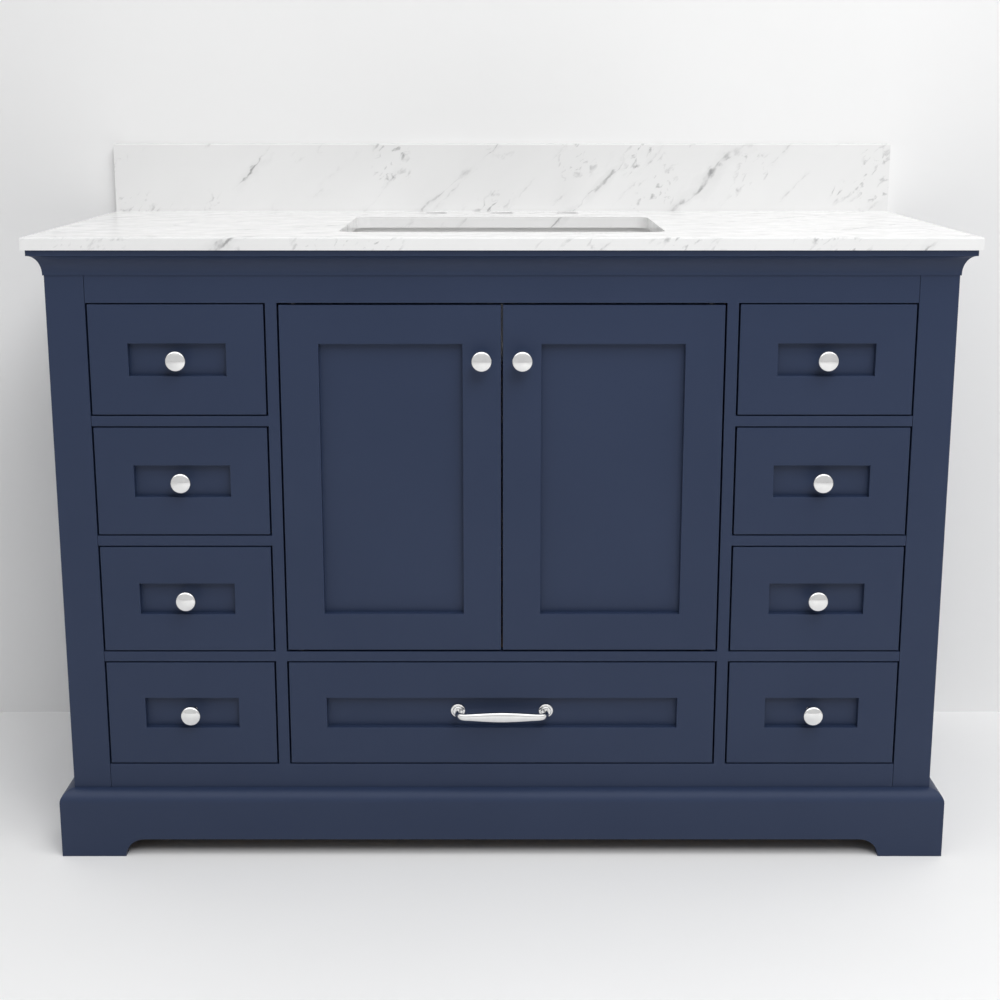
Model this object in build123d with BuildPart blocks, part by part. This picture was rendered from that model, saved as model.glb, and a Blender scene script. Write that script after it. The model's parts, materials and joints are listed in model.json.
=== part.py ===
from build123d import *
import os

# Bathroom vanity cabinet with a stone top and an undermount basin, in millimetres.
# +Z is up, the front faces -Y and +X is to the viewer's right. The origin is on the floor, under
# the middle of the overall box, which runs from the door knobs in front to the wall behind.

# Stone top
top_width = 1219.2
top_depth = 558.8
slab_thickness = 15.9
splash_height = 104.5
splash_thickness = 19.0
stone_arris = 1.5

# Holes in the top
cutout_width = 434.0
cutout_depth = 304.0
cutout_radius = 20.0
cutout_front = 97.0
faucet_hole_radius = 17.5
faucet_spacing = 101.6
faucet_from_wall = 62.8

# Basin and its clips
basin_setback = 8.0
basin_wall = 10.0
basin_floor = 12.0
basin_depth = 150.0
basin_draft = 14.0
basin_bottom_radius = 20.0
flange_width = 16.0
flange_thickness = 9.0
drain_radius = 22.5
clip_spacing = 180.0
clip_width = 20.0
clip_thickness = 2.5
clip_grip = 9.0
stud_radius = 3.0
stud_length = 30.0
stud_foot_radius = 8.0
stud_foot_thickness = 1.5
nut_radius = 5.5
nut_height = 5.0
clip_clearance = 3.0

# Cabinet body and face frame
body_width = 1175.0
front_setback = 22.0
frame_thickness = 19.0
stile_width = 50.5
mullion_width = 15.0
door_opening = 580.6
drawer_opening = 147.7
drawer_rail = 13.8
top_rail = 69.3
bottom_rail = 62.0
bottom_reveal = 34.1
side_thickness = 18.0
floor_thickness = 15.0
floor_drop = 6.0
shelf_thickness = 12.0
back_thickness = 6.0
back_rail_thickness = 15.0
back_rail_height = 100.0
wall_screw_radius = 3.0
wall_screw_spacing = 406.4
batten_width = 40.0
block_leg = 70.0
block_thickness = 20.0

# Crown moulding and plinth
crown_projection = 17.2
crown_lip = 7.6
crown_cove = 24.5
crown_step = 1.5
plinth_height = 94.5
plinth_thickness = 17.3
plinth_round = 17.0
plinth_foot = 87.5
arch_height = 24.8
arch_corner = 26.5

# Doors and drawer fronts
reveal = 2.3
drawer_reveal = 1.7
front_thickness = 19.0
frame_width = 50.3
frame_rail = 51.0
panel_recess = 10.0
panel_thickness = 6.0
panel_play = 0.5
groove_depth = 8.0

# Drawer boxes and runners
box_board = 12.0
box_bottom = 6.0
box_bottom_lift = 10.0
box_height = 105.0
box_lift = 14.0
box_depth = 440.0
runner_width = 12.7
runner_height = 36.0
runner_wall = 1.4
runner_length = 450.0
runner_setback = 2.0
runner_play = 0.3
runner_side_play = 0.6

# Door pivots and catches
pivot_inset = 18.0
pivot_setback = 7.5
pin_radius = 2.5
pin_play = 0.05
bush_radius = 4.5
bush_length = 8.0
leaf_width = 10.0
leaf_thickness = 2.5
leaf_end_gap = 1.0
mortise_play = 0.2
seat_gap = 0.3
strike_width = 14.0
strike_thickness = 1.2
catch_width = 40.0
catch_height = 22.0
catch_depth = 14.0

# Knobs, pull and their screws
knob_projection = 27.0
knob_base_radius = 6.6
knob_base_thickness = 2.2
knob_base_bevel = 0.8
knob_foot_radius = 5.8
knob_neck_radius = 5.2
knob_cap_radius = 13.6
knob_cap_underside = 18.0
knob_dome_height = 1.6
knob_edge_round = 3.2
knob_rim_roll = 1.2
knob_from_door_top = 70.5
pull_spacing = 120.0
pull_reach = 26.5
pull_bend = 11.0
pull_end_height = 9.6
pull_end_depth = 7.4
pull_middle_height = 14.2
pull_middle_depth = 8.6
rosette_radius = 10.3
rosette_thickness = 3.2
rosette_step_radius = 7.2
rosette_step = 2.4
screw_radius = 2.0
screw_play = 0.05
screw_hole_radius = 2.5
screw_engagement = 8.0
screw_bore_depth = 9.0
screw_head_radius = 4.0
screw_head_height = 2.4

# Rows of drawers, from the floor up
row_names = ["bottom", "lower", "upper", "top"]
sides = {"left": -1, "right": 1}

# Places worked out from the sizes, across the width
body_half = body_width / 2
side_inside = body_half - side_thickness
bay_outside = body_half - stile_width
door_half = door_opening / 2
bay_inside = door_half + mullion_width

# Places worked out from the sizes, from front to back
knob_overhang = knob_projection - front_setback
back_y = (top_depth + knob_overhang) / 2
top_front_y = back_y - top_depth
face_y = top_front_y + front_setback
inside_y = face_y + frame_thickness
front_back_y = face_y + front_thickness
panel_y = face_y + panel_recess
runner_y = inside_y + runner_setback
sink_y = top_front_y + cutout_front + cutout_depth / 2
faucet_y = back_y - faucet_from_wall

# Places worked out from the sizes, from the floor up
lowest_opening = plinth_height + bottom_reveal
row_pitch = drawer_opening + drawer_rail
row_bottoms = [lowest_opening + row * row_pitch for row in range(len(row_names))]
door_bottom = row_bottoms[1]
door_top = row_bottoms[-1] + drawer_opening
body_top = door_top + top_rail
top_z = body_top + slab_thickness
floor_top = lowest_opening - floor_drop
shelf_bottom = door_bottom - shelf_thickness

os.makedirs("parts", exist_ok=True)


def write_node(name, pieces):
    """Label the pieces of one node and write them to one file."""
    node = pieces[0] if len(pieces) == 1 else Compound(children=pieces)
    node.label = name
    export_step(node, f"parts/{name}.step")


def box_between(x, y, z, mode=Mode.ADD):
    """A box between two limits on each axis, in the part that is being built."""
    with Locations(((x[0] + x[1]) / 2, (y[0] + y[1]) / 2, (z[0] + z[1]) / 2)):
        Box(abs(x[1] - x[0]), abs(y[1] - y[0]), abs(z[1] - z[0]), mode=mode)


def board(x, y, z):
    """A square-edged board between two limits on each axis."""
    with BuildPart() as piece:
        box_between(x, y, z)
    return piece.part


def front_plane(y):
    """An upright plane across the cabinet, with X to the right and Z up, facing the viewer."""
    return Plane.XZ.offset(-y)


def bored(piece, points, radius):
    """The piece with round holes through it from front to back at points of X and Z."""
    with BuildPart() as holed:
        add(piece)
        with BuildSketch(front_plane(back_y)):
            with Locations(*points):
                Circle(radius)
        extrude(amount=top_depth + knob_projection, mode=Mode.SUBTRACT)
    return holed.part


# Stone top and backsplash
with BuildPart() as countertop:
    with BuildSketch(Plane.XY.offset(body_top)):
        with Locations((0, back_y - top_depth / 2)):
            Rectangle(top_width, top_depth)
        with Locations((0, sink_y)):
            RectangleRounded(cutout_width, cutout_depth, cutout_radius, mode=Mode.SUBTRACT)
        with Locations(*[(step * faucet_spacing, faucet_y) for step in (-1, 0, 1)]):
            Circle(faucet_hole_radius, mode=Mode.SUBTRACT)
    extrude(amount=slab_thickness)
    top_edges = countertop.faces().sort_by(Axis.Z)[-1].outer_wire().edges()
    fillet(top_edges.sort_by(Axis.Y)[:-1], radius=stone_arris)
write_node("countertop", [countertop.part])

with BuildPart() as backsplash:
    splash_y = (back_y - splash_thickness, back_y)
    box_between((-top_width / 2, top_width / 2), splash_y, (top_z, top_z + splash_height))
    top_edges = backsplash.faces().sort_by(Axis.Z)[-1].outer_wire().edges()
    fillet(top_edges.sort_by(Axis.Y)[:-1], radius=stone_arris)
write_node("backsplash", [backsplash.part])


# Basin: a drafted tub with a flange under the stone
basin_width = cutout_width + 2 * basin_setback
basin_length = cutout_depth + 2 * basin_setback
basin_radius = cutout_radius + basin_setback
basin_bottom = body_top - basin_depth
basin_round = min(basin_bottom_radius, basin_radius - basin_setback)


def tub(grow, bottom_z):
    """A drafted tub with a round bottom edge, grown sideways from the basin's inside."""
    with BuildPart() as shape:
        for z, draft in ((body_top, 0.0), (bottom_z, basin_draft)):
            with BuildSketch(Plane.XY.offset(z)):
                with Locations((0, sink_y)):
                    grown = 2 * (grow - draft)
                    RectangleRounded(basin_width + grown, basin_length + grown, basin_radius + grow)
        loft()
        fillet(shape.faces().sort_by(Axis.Z)[0].edges(), radius=basin_round + grow)
    return shape.part


tub_outside = tub(basin_wall, basin_bottom - basin_floor)
tub_inside = tub(0.0, basin_bottom)
flange_reach = basin_wall + flange_width
with BuildPart() as sink_basin:
    add(tub_outside)
    with BuildSketch(Plane.XY.offset(body_top)):
        with Locations((0, sink_y)):
            grown = 2 * flange_reach
            RectangleRounded(basin_width + grown, basin_length + grown, basin_radius + flange_reach)
    extrude(amount=-flange_thickness)
    add(tub_inside, mode=Mode.SUBTRACT)
    with BuildSketch(Plane.XY.offset(basin_bottom)):
        with Locations((0, sink_y)):
            Circle(drain_radius)
    extrude(amount=-basin_floor, mode=Mode.SUBTRACT)
write_node("sink_basin", [sink_basin.part])


# Sink clips: a stud bonded to the stone, a strap that bears on the flange and a nut under it
flange_edge = basin_width / 2 + flange_reach
stud_x = flange_edge + stud_foot_radius + mortise_play
strap_top = body_top - flange_thickness
strap_heel = stud_x + stud_foot_radius + mortise_play
clip_end = strap_heel + clip_thickness


def sink_clip(side, y):
    """The stud, strap and nut of one clip on one side of the basin."""
    with BuildPart() as stud:
        with BuildSketch(Plane.XY.offset(body_top)):
            with Locations((side * stud_x, y)):
                Circle(stud_foot_radius)
        extrude(amount=-stud_foot_thickness)
        with BuildSketch(Plane.XY.offset(body_top)):
            with Locations((side * stud_x, y)):
                Circle(stud_radius)
        extrude(amount=-stud_length)
    width = (y - clip_width / 2, y + clip_width / 2)
    with BuildPart() as strap:
        strap_x = (side * (flange_edge - clip_grip), side * clip_end)
        box_between(strap_x, width, (strap_top - clip_thickness, strap_top))
        box_between((side * strap_heel, side * clip_end), width, (strap_top, body_top))
        with BuildSketch(Plane.XY.offset(strap_top)):
            with Locations((side * stud_x, y)):
                Circle(stud_radius + mortise_play)
        extrude(amount=-clip_thickness, mode=Mode.SUBTRACT)
    with BuildPart() as nut:
        with BuildSketch(Plane.XY.offset(strap_top - clip_thickness)):
            with Locations((side * stud_x, y)):
                RegularPolygon(nut_radius, 6)
                Circle(stud_radius + screw_play, mode=Mode.SUBTRACT)
        extrude(amount=-nut_height)
    return [stud.part, strap.part, nut.part]


clip_pieces = []
for side in sides.values():
    for end in (-1, 1):
        clip_pieces += sink_clip(side, sink_y + end * clip_spacing / 2)
write_node("sink_clips", clip_pieces)

# Panels of the case
depth = (inside_y, back_y)
write_node("side_panels", [
    board((side * side_inside, side * body_half), depth, (0, body_top)) for side in sides.values()
])


def partition(side):
    """A wall beside the doors, cut away where it would meet the basin's flange and clips."""
    notch_x = clip_end + clip_clearance
    notch_y = basin_length / 2 + flange_reach + clip_clearance
    with BuildPart() as wall:
        box_between((side * door_half, side * bay_inside), depth, (floor_top, body_top))
        box_between(
            (-notch_x, notch_x), (sink_y - notch_y, sink_y + notch_y),
            (body_top - stud_length - clip_clearance, body_top), mode=Mode.SUBTRACT,
        )
    return wall.part


write_node("partitions", [partition(side) for side in sides.values()])
floor_z = (floor_top - floor_thickness, floor_top)
write_node("cabinet_floor", [board((-side_inside, side_inside), depth, floor_z)])
write_node("centre_shelf", [board((-door_half, door_half), depth, (shelf_bottom, door_bottom))])

# Back: a thin panel behind each drawer space and a rail at the top that takes the wall screws
panel_depth = (back_y - back_thickness, back_y)
back_pieces = [
    board((side * bay_inside, side * side_inside), panel_depth, (floor_top, body_top))
    for side in sides.values()
]
back_pieces.append(board((-door_half, door_half), panel_depth, (floor_top, shelf_bottom)))
back_rail_z = (body_top - back_rail_height, body_top)
back_rail = board((-door_half, door_half), (back_y - back_rail_thickness, back_y), back_rail_z)
wall_screw_points = [(end * wall_screw_spacing / 2, body_top - back_rail_height / 2) for end in (-1, 1)]
back_pieces.append(bored(back_rail, wall_screw_points, wall_screw_radius))
write_node("cabinet_back", back_pieces)


# Battens beside the outer stiles, which carry the outer runners, and corner blocks under the top
def corner_block(side, y, towards):
    """A triangular block in a top corner, with legs along the side panel and along y."""
    with BuildPart() as block:
        with BuildSketch(Plane.XY.offset(body_top)):
            with BuildLine():
                Polyline(
                    (side * side_inside, y),
                    (side * side_inside, y + towards * block_leg),
                    (side * (side_inside - block_leg), y),
                    close=True,
                )
            make_face()
        extrude(amount=-block_thickness)
    return block.part


batten_rear = runner_y + runner_length
batten_pieces = []
for side in sides.values():
    across = (side * bay_outside, side * side_inside)
    batten_pieces.append(board(across, (inside_y, inside_y + batten_width), (floor_top, door_top)))
    batten_pieces.append(board(across, (batten_rear - batten_width, batten_rear), (floor_top, door_top)))
    batten_pieces.append(corner_block(side, inside_y, 1))
    batten_pieces.append(corner_block(side, back_y - back_thickness, -1))
write_node("battens_and_blocks", batten_pieces)


# Door pivots
door_edge = door_half - reveal
pivot_x = door_edge - pivot_inset
pivot_y = face_y + pivot_setback
leaf_end = door_edge - frame_width + groove_depth + leaf_end_gap
# Each pivot: the edge of the door opening and the way from the door into the frame
pivot_edges = ((door_bottom, -1), (door_top, 1))


def leaf_outline(side, grow=0.0):
    """Plan of a pivot leaf in the sketch being drawn: a strip with a round end about the pivot."""
    with Locations((side * pivot_x, pivot_y)):
        Circle(leaf_width / 2 + grow)
    length = pivot_x - leaf_end + grow
    with Locations((side * (pivot_x - length / 2), pivot_y)):
        Rectangle(length, leaf_width + 2 * grow)


def pivot_pin(side, edge, up):
    """Frame leaf, spacing washer and pin of one pivot, in one piece."""
    with BuildPart() as leaf:
        with BuildSketch(Plane.XY.offset(edge)):
            leaf_outline(side)
        extrude(amount=up * leaf_thickness)
        pin_length = reveal + leaf_thickness + bush_length
        for radius, length in ((bush_radius, reveal - seat_gap), (pin_radius, pin_length)):
            with BuildSketch(Plane.XY.offset(edge)):
                with Locations((side * pivot_x, pivot_y)):
                    Circle(radius)
            extrude(amount=-up * length)
    return leaf.part


def pivot_bush(side, edge, up):
    """Door leaf of one pivot, with the bush that turns on the pin."""
    door_z = edge - up * reveal
    with BuildPart() as leaf:
        with BuildSketch(Plane.XY.offset(door_z)):
            leaf_outline(side)
        extrude(amount=-up * leaf_thickness)
        for radius, mode in ((bush_radius, Mode.ADD), (pin_radius + pin_play, Mode.SUBTRACT)):
            with BuildSketch(Plane.XY.offset(door_z)):
                with Locations((side * pivot_x, pivot_y)):
                    Circle(radius)
            extrude(amount=-up * (leaf_thickness + bush_length), mode=mode)
    return leaf.part


write_node("door_pivots", [
    pivot_pin(side, edge, up) for side in sides.values() for edge, up in pivot_edges
])


# Face frame, with the pivot leaves let into the rails above and below the doors
frame_y = (face_y, inside_y)
stile_pieces = []
for side in sides.values():
    stile_pieces.append(board((side * bay_outside, side * body_half), frame_y, (0, body_top)))
    stile_pieces.append(board((side * door_half, side * bay_inside), frame_y, (lowest_opening, door_top)))
write_node("face_frame_stiles", stile_pieces)


def mortised_rail(x, z, edge, up):
    """A rail beside the doors, with a mortise at each end for a pivot leaf."""
    with BuildPart() as rail:
        box_between(x, frame_y, z)
        with BuildSketch(Plane.XY.offset(edge)):
            for side in sides.values():
                leaf_outline(side, mortise_play)
        extrude(amount=up * leaf_thickness, mode=Mode.SUBTRACT)
    return rail.part


rail_pieces = [
    mortised_rail((-bay_outside, bay_outside), (door_top, body_top), door_top, 1),
    mortised_rail((-door_half, door_half), (door_bottom - drawer_rail, door_bottom), door_bottom, -1),
    board((-bay_outside, bay_outside), frame_y, (lowest_opening - bottom_rail, lowest_opening)),
]
for side in sides.values():
    bay_x = (side * bay_inside, side * bay_outside)
    for row_bottom in row_bottoms[1:]:
        rail_pieces.append(board(bay_x, frame_y, (row_bottom - drawer_rail, row_bottom)))
write_node("face_frame_rails", rail_pieces)


# Crown moulding and plinth, mitred at the front corners
def mitre(side):
    """The upright plane through a front corner of the body, at 45 degrees."""
    return Plane(origin=(side * body_half, face_y, 0), z_dir=(side, 1, 0))


def crown_section(plane):
    """Section of the crown on a plane, outwards along x and down from the top."""
    cove_bottom = -crown_lip - crown_cove
    with BuildSketch(plane) as section:
        with BuildLine():
            Polyline(
                (crown_step, cove_bottom),
                (crown_step, cove_bottom - crown_step),
                (0, cove_bottom - crown_step),
                (0, 0),
                (crown_projection, 0),
                (crown_projection, -crown_lip),
            )
            cove_width = crown_projection - crown_step
            EllipticalCenterArc((crown_projection, cove_bottom), cove_width, crown_cove, 90, arc_size=90)
        make_face()
    return section.sketch


def plinth_section(plane):
    """Section of the plinth on a plane, outwards along x and up from the floor."""
    flat_top = plinth_thickness - plinth_round
    round_bottom = plinth_height - plinth_round
    with BuildSketch(plane) as section:
        with BuildLine():
            Polyline(
                (flat_top, plinth_height),
                (0, plinth_height),
                (0, 0),
                (plinth_thickness, 0),
                (plinth_thickness, round_bottom),
            )
            CenterArc((flat_top, round_bottom), plinth_round, start_angle=0, arc_size=90)
        make_face()
    return section.sketch


def front_end(projection, z):
    """Plane across the right-hand end of a front moulding, with outwards along x."""
    return Plane(origin=(body_half + projection, face_y, z), x_dir=(0, -1, 0), z_dir=(-1, 0, 0))


def wall_end(z):
    """Plane across the wall end of a right-hand return, with outwards along x."""
    return Plane(origin=(body_half, back_y, z), x_dir=(1, 0, 0), z_dir=(0, -1, 0))


with BuildPart() as crown_front:
    extrude(crown_section(front_end(crown_projection, body_top)), amount=body_width + 2 * crown_projection)
    for side in sides.values():
        split(bisect_by=mitre(side), keep=Keep.BOTTOM)

with BuildPart() as crown_returns:
    extrude(crown_section(wall_end(body_top)), amount=back_y - face_y + crown_projection)
    split(bisect_by=mitre(1), keep=Keep.TOP)
    mirror(about=Plane.YZ)
write_node("crown_moulding", [crown_front.part, crown_returns.part])

arch_width = body_width + 2 * (plinth_thickness - plinth_foot)
arch_flat = arch_width / 2 - arch_corner
with BuildPart() as plinth_front:
    extrude(plinth_section(front_end(plinth_thickness, 0)), amount=body_width + 2 * plinth_thickness)
    for side in sides.values():
        split(bisect_by=mitre(side), keep=Keep.BOTTOM)
    with BuildSketch(front_plane(face_y)):
        with BuildLine():
            Line((arch_width / 2, 0), (-arch_width / 2, 0))
            EllipticalCenterArc((-arch_flat, 0), arch_corner, arch_height, 90, arc_size=90)
            Line((-arch_flat, arch_height), (arch_flat, arch_height))
            EllipticalCenterArc((arch_flat, 0), arch_corner, arch_height, 0, arc_size=90)
        make_face()
    extrude(amount=plinth_thickness, mode=Mode.SUBTRACT)

with BuildPart() as plinth_returns:
    extrude(plinth_section(wall_end(0)), amount=back_y - face_y + plinth_thickness)
    split(bisect_by=mitre(1), keep=Keep.TOP)
    mirror(about=Plane.YZ)
write_node("plinth", [plinth_front.part, plinth_returns.part])


# Shaker fronts
def shaker_front(x, z):
    """Two stiles, two rails and the panel in their grooves, between limits of X and Z at the face."""
    y = (face_y, front_back_y)
    groove_y = (panel_y, panel_y + panel_thickness)
    inner_x = (x[0] + frame_width, x[1] - frame_width)
    inner_z = (z[0] + frame_rail, z[1] - frame_rail)
    groove_x = (inner_x[0] - groove_depth, inner_x[1] + groove_depth)
    groove_z = (inner_z[0] - groove_depth, inner_z[1] + groove_depth)
    stiles = []
    for edge, inner, groove in zip(x, inner_x, groove_x):
        with BuildPart() as stile:
            box_between((edge, inner), y, z)
            box_between((groove, inner), groove_y, z, mode=Mode.SUBTRACT)
        stiles.append(stile.part)
    rails = []
    for edge, inner, groove in zip(z, inner_z, groove_z):
        with BuildPart() as rail:
            box_between(inner_x, y, (edge, inner))
            box_between(groove_x, groove_y, (edge, groove))
            box_between(inner_x, groove_y, (groove, inner), mode=Mode.SUBTRACT)
        rails.append(rail.part)
    panel_x = (groove_x[0] + panel_play, groove_x[1] - panel_play)
    panel_z = (groove_z[0] + panel_play, groove_z[1] - panel_play)
    return stiles, rails, board(panel_x, groove_y, panel_z)


# Knobs, screws and the pull
def knob(x, y, z):
    """A mushroom knob on a round base, standing forward from a seat at y, with a blind screw hole."""
    axis_plane = Plane(origin=(x, y, z), x_dir=(1, 0, 0), z_dir=(0, 0, -1))
    bore = screw_radius + screw_play
    shoulder = (knob_cap_radius - knob_edge_round, knob_projection - knob_dome_height)
    rim = shoulder[1] - knob_edge_round
    cap_edge = (knob_cap_radius - knob_rim_roll, knob_cap_underside)
    neck_top = (knob_base_thickness + knob_cap_underside) / 2
    foot = (knob_foot_radius, knob_base_thickness + knob_base_bevel)
    with BuildPart() as turned:
        with BuildSketch(axis_plane):
            with BuildLine():
                Polyline(
                    (0, knob_projection), (0, screw_bore_depth), (bore, screw_bore_depth), (bore, 0),
                    (knob_base_radius, 0), (knob_base_radius, knob_base_thickness), foot,
                )
                ThreePointArc(foot, (knob_neck_radius, neck_top), cap_edge)
                Line(cap_edge, (knob_cap_radius, rim))
                CenterArc((shoulder[0], rim), knob_edge_round, start_angle=0, arc_size=90)
                TangentArc((0, knob_projection), shoulder, tangent=(1, 0))
            make_face()
        revolve(axis=Axis((x, y, z), (0, -1, 0)))
    return turned.part


def screw(x, seat_y, head_y, z):
    """A machine screw from inside a knob or pull seated at seat_y to its head behind head_y."""
    tip_y = seat_y - screw_engagement
    with BuildPart() as pan_head:
        with BuildSketch(front_plane(head_y)):
            with Locations((x, z)):
                Circle(screw_radius)
        extrude(amount=head_y - tip_y)
        with BuildSketch(front_plane(head_y)):
            with Locations((x, z)):
                Circle(screw_head_radius)
        extrude(amount=-screw_head_height)
    return pan_head.part


def pull(x, y, z):
    """A bar pull that swells at the middle and turns back into two posts on stepped rosettes."""
    bar_y = y - pull_reach
    elbow_y = bar_y + pull_bend
    straight = pull_spacing / 2 - pull_bend
    rosette_steps = (
        (rosette_radius, rosette_thickness),
        (rosette_step_radius, rosette_thickness + rosette_step),
    )
    sections = (
        (-1, pull_end_depth, pull_end_height),
        (0, pull_middle_depth, pull_middle_height),
        (1, pull_end_depth, pull_end_height),
    )

    def bar_plane(bar_x):
        return Plane(origin=(bar_x, bar_y, z), x_dir=(0, 1, 0), z_dir=(1, 0, 0))

    with BuildPart() as bar:
        for place, depth_here, height_here in sections:
            with BuildSketch(bar_plane(x + place * straight)):
                Ellipse(depth_here / 2, height_here / 2)
        loft()
        for side in sides.values():
            elbow_x = x + side * straight
            post_x = x + side * pull_spacing / 2
            with BuildSketch(bar_plane(elbow_x)):
                Ellipse(pull_end_depth / 2, pull_end_height / 2)
            revolve(axis=Axis((elbow_x, elbow_y, z), (0, 0, side)), revolution_arc=90)
            with BuildSketch(front_plane(y)):
                with Locations((post_x, z)):
                    Ellipse(pull_end_depth / 2, pull_end_height / 2)
            extrude(amount=pull_reach - pull_bend)
            for radius, height in rosette_steps:
                with BuildSketch(front_plane(y)):
                    with Locations((post_x, z)):
                        Circle(radius)
                extrude(amount=height)
            with BuildSketch(front_plane(y)):
                with Locations((post_x, z)):
                    Circle(screw_radius + screw_play)
            extrude(amount=screw_bore_depth, mode=Mode.SUBTRACT)
    return bar.part


# Runners: a channel on the cabinet and a smaller one on the drawer, nested face to face
def channel(web, tips, y, z_middle, height):
    """A channel along Y whose web is at one X and whose flanges reach to another."""
    towards = 1 if tips > web else -1
    half = height / 2
    with BuildPart() as folded:
        box_between((web, tips), y, (z_middle - half, z_middle + half))
        box_between(
            (web + towards * runner_wall, tips), y,
            (z_middle - half + runner_wall, z_middle + half - runner_wall), mode=Mode.SUBTRACT,
        )
    return folded.part


channel_depth = runner_width - runner_wall - runner_side_play
drawer_channel_height = runner_height - 2 * (runner_wall + runner_play)
runner_z = box_lift + box_height / 2
cabinet_runners = []


def drawer(name, x, z, grips):
    """Front, box, grip and runners of the drawer for an opening with limits x and bottom edge z."""
    front_x = (x[0] + reveal, x[1] - reveal)
    front_z = (z + drawer_reveal, z + drawer_opening - drawer_reveal)
    middle_x = (x[0] + x[1]) / 2
    middle_z = z + drawer_opening / 2
    points = [(middle_x + offset, middle_z) for offset in grips]

    stiles, rails, panel = shaker_front(front_x, front_z)
    write_node(f"{name}_front", stiles + rails + [bored(panel, points, screw_hole_radius)])

    box_x = (x[0] + runner_width, x[1] - runner_width)
    between = (box_x[0] + box_board, box_x[1] - box_board)
    box_y = (front_back_y, front_back_y + box_depth)
    box_z = (z + box_lift, z + box_lift + box_height)
    front_board = board(between, (box_y[0], box_y[0] + box_board), box_z)
    write_node(f"{name}_box", [
        board((box_x[0], between[0]), box_y, box_z),
        board((between[1], box_x[1]), box_y, box_z),
        bored(front_board, points, screw_hole_radius),
        board(between, (box_y[1] - box_board, box_y[1]), box_z),
        board(between, (box_y[0] + box_board, box_y[1] - box_board),
              (box_z[0] + box_bottom_lift, box_z[0] + box_bottom_lift + box_bottom)),
    ])

    screws = [screw(point_x, panel_y, box_y[0] + box_board, point_z) for point_x, point_z in points]
    if len(points) == 1:
        write_node(f"{name}_knob", [knob(middle_x, panel_y, middle_z)] + screws)
    else:
        write_node(f"{name}_pull", [pull(middle_x, panel_y, middle_z)] + screws)

    drawer_members = []
    for edge, box_side, towards in ((x[0], box_x[0], 1), (x[1], box_x[1], -1)):
        rail_tips = edge + towards * channel_depth
        rail_y = (runner_y, runner_y + runner_length)
        cabinet_runners.append(channel(edge, rail_tips, rail_y, z + runner_z, runner_height))
        member_tips = box_side - towards * channel_depth
        member_y = (runner_y, box_y[1])
        drawer_members.append(channel(box_side, member_tips, member_y, z + runner_z, drawer_channel_height))
    write_node(f"{name}_runners", drawer_members)


for side_name, side in sides.items():
    bay = sorted((side * bay_inside, side * bay_outside))
    for row_name, row_bottom in zip(row_names, row_bottoms):
        drawer(f"{side_name}_{row_name}_drawer", bay, row_bottom, (0.0,))
drawer("centre_drawer", (-door_half, door_half), lowest_opening, (-pull_spacing / 2, pull_spacing / 2))
write_node("runner_rails", cabinet_runners)


# Doors, with pivot leaves let into the outer stile and a knob and strike plate on the inner one
grip_x = (reveal + frame_width) / 2
catch_z = door_top - reveal


def mortised_stile(stile, side):
    """The outer stile of a door with a mortise and a bush hole at each end."""
    with BuildPart() as cut_stile:
        add(stile)
        for edge, up in pivot_edges:
            door_z = edge - up * reveal
            with BuildSketch(Plane.XY.offset(door_z)):
                leaf_outline(side, mortise_play)
            extrude(amount=-up * leaf_thickness, mode=Mode.SUBTRACT)
            with BuildSketch(Plane.XY.offset(door_z)):
                with Locations((side * pivot_x, pivot_y)):
                    Circle(bush_radius + mortise_play)
            extrude(amount=-up * (leaf_thickness + bush_length + mortise_play), mode=Mode.SUBTRACT)
    return cut_stile.part


def door(name, side):
    """A door of five pieces with its knob, pivot leaves and strike plate."""
    front_x = sorted((side * reveal / 2, side * door_edge))
    front_z = (door_bottom + reveal, door_top - reveal)
    stiles, rails, panel = shaker_front(front_x, front_z)
    inner_stile, outer_stile = stiles if side > 0 else reversed(stiles)
    knob_x = side * grip_x
    knob_z = front_z[1] - knob_from_door_top
    write_node(f"{name}_front", [
        bored(inner_stile, [(knob_x, knob_z)], screw_hole_radius),
        mortised_stile(outer_stile, side),
        *rails,
        panel,
    ])
    door_screw = screw(knob_x, face_y, front_back_y, knob_z)
    write_node(f"{name}_knob", [knob(knob_x, face_y, knob_z), door_screw])
    strike_x = (knob_x - strike_width / 2, knob_x + strike_width / 2)
    strike_y = (front_back_y, front_back_y + strike_thickness)
    strike = board(strike_x, strike_y, (catch_z - strike_width, catch_z))
    write_node(f"{name}_fittings", [pivot_bush(side, edge, up) for edge, up in pivot_edges] + [strike])


for side_name, side in sides.items():
    door(f"{side_name}_door", side)


# Magnetic catches: a block behind the top rail whose foot hangs down behind the door's strike plate
def catch(x):
    """One catch block, centred at x."""
    across = (x - catch_width / 2, x + catch_width / 2)
    catch_back = inside_y + catch_depth
    with BuildPart() as block:
        box_between(across, (inside_y, catch_back), (door_top, door_top + catch_height))
        foot_front = front_back_y + strike_thickness + seat_gap
        box_between(across, (foot_front, catch_back), (catch_z - strike_width, door_top))
    return block.part


write_node("door_catches", [catch(side * grip_x) for side in sides.values()])
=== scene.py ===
import bmesh
import bpy
import json
import math
from mathutils import Matrix, Vector


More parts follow.
